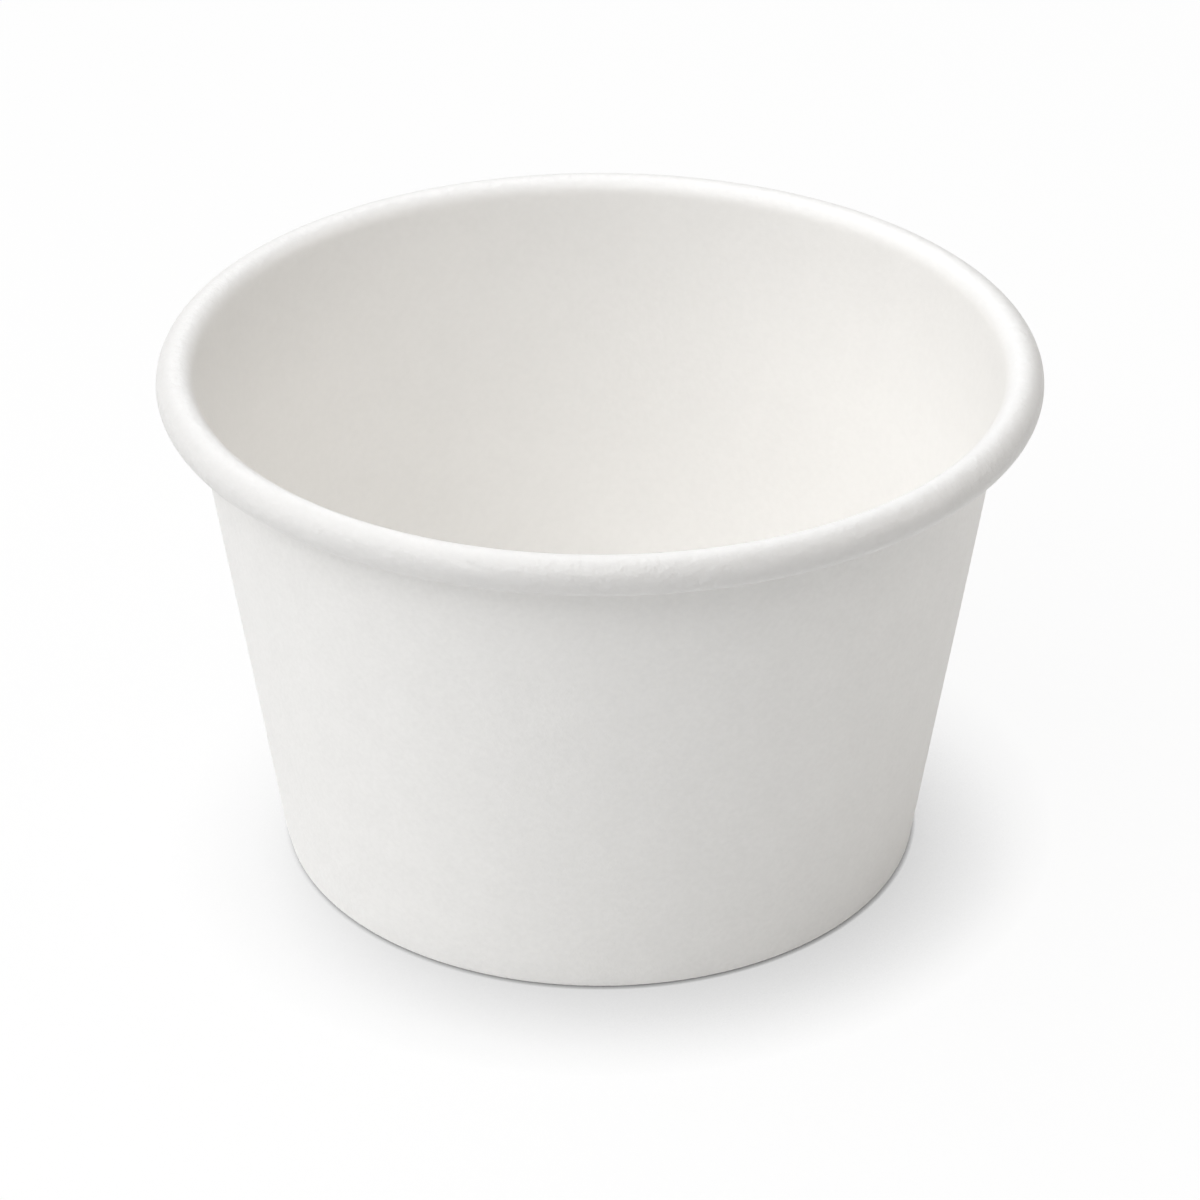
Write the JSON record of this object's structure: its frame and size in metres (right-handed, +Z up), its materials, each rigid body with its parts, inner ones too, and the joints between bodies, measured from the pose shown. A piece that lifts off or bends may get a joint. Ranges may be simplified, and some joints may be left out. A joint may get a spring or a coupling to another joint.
{
  "type": "paper sundae cup",
  "caption": "Round tapered paper dessert cup with an outward rolled rim, a lapped side seam and a raised floor held in a folded base hem.",
  "frame": {"origin": "centre of the base hem's ring, on the surface that the cup stands on", "axes": "+Z up along the cup's axis, out of its mouth; -X towards the side seam"},
  "size_m": [0.096, 0.096, 0.0589],
  "materials": {
    "wall_paper": "uncoated white paperboard outside, thin satin coating inside",
    "base_paper": "white paperboard with a thin satin coating"
  },
  "bodies": {
    "root": {"side_wall": "wall_paper", "base_disc": "base_paper"}
  },
  "joints": []
}
